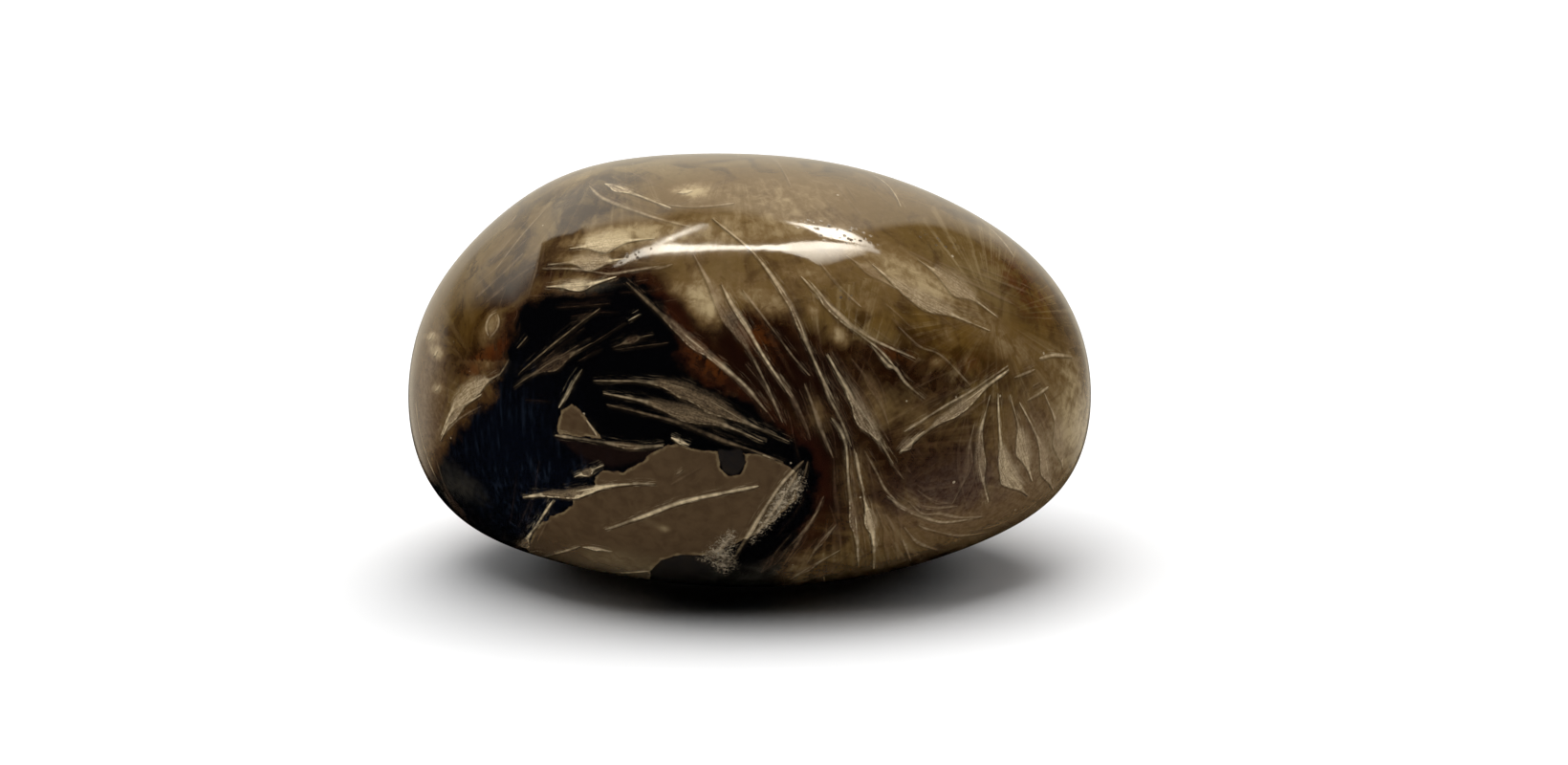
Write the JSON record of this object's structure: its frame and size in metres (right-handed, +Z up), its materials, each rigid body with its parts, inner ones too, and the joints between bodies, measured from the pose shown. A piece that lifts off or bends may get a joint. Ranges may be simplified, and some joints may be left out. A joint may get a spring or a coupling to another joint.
{
  "type": "tumbled stone",
  "caption": "Polished tumbled pebble of brown and black chert, a long rounded lump that rests on a small flat spot.",
  "frame": {"origin": "on the resting surface, under the middle of the stone's box", "axes": "+X along the stone's length to its blunt lower end, +Y to the back, +Z up from the flat spot that it rests on"},
  "size_m": [0.05, 0.0384, 0.0313],
  "materials": {
    "chert": null
  },
  "bodies": {
    "root": {"stone": "chert"}
  },
  "joints": []
}
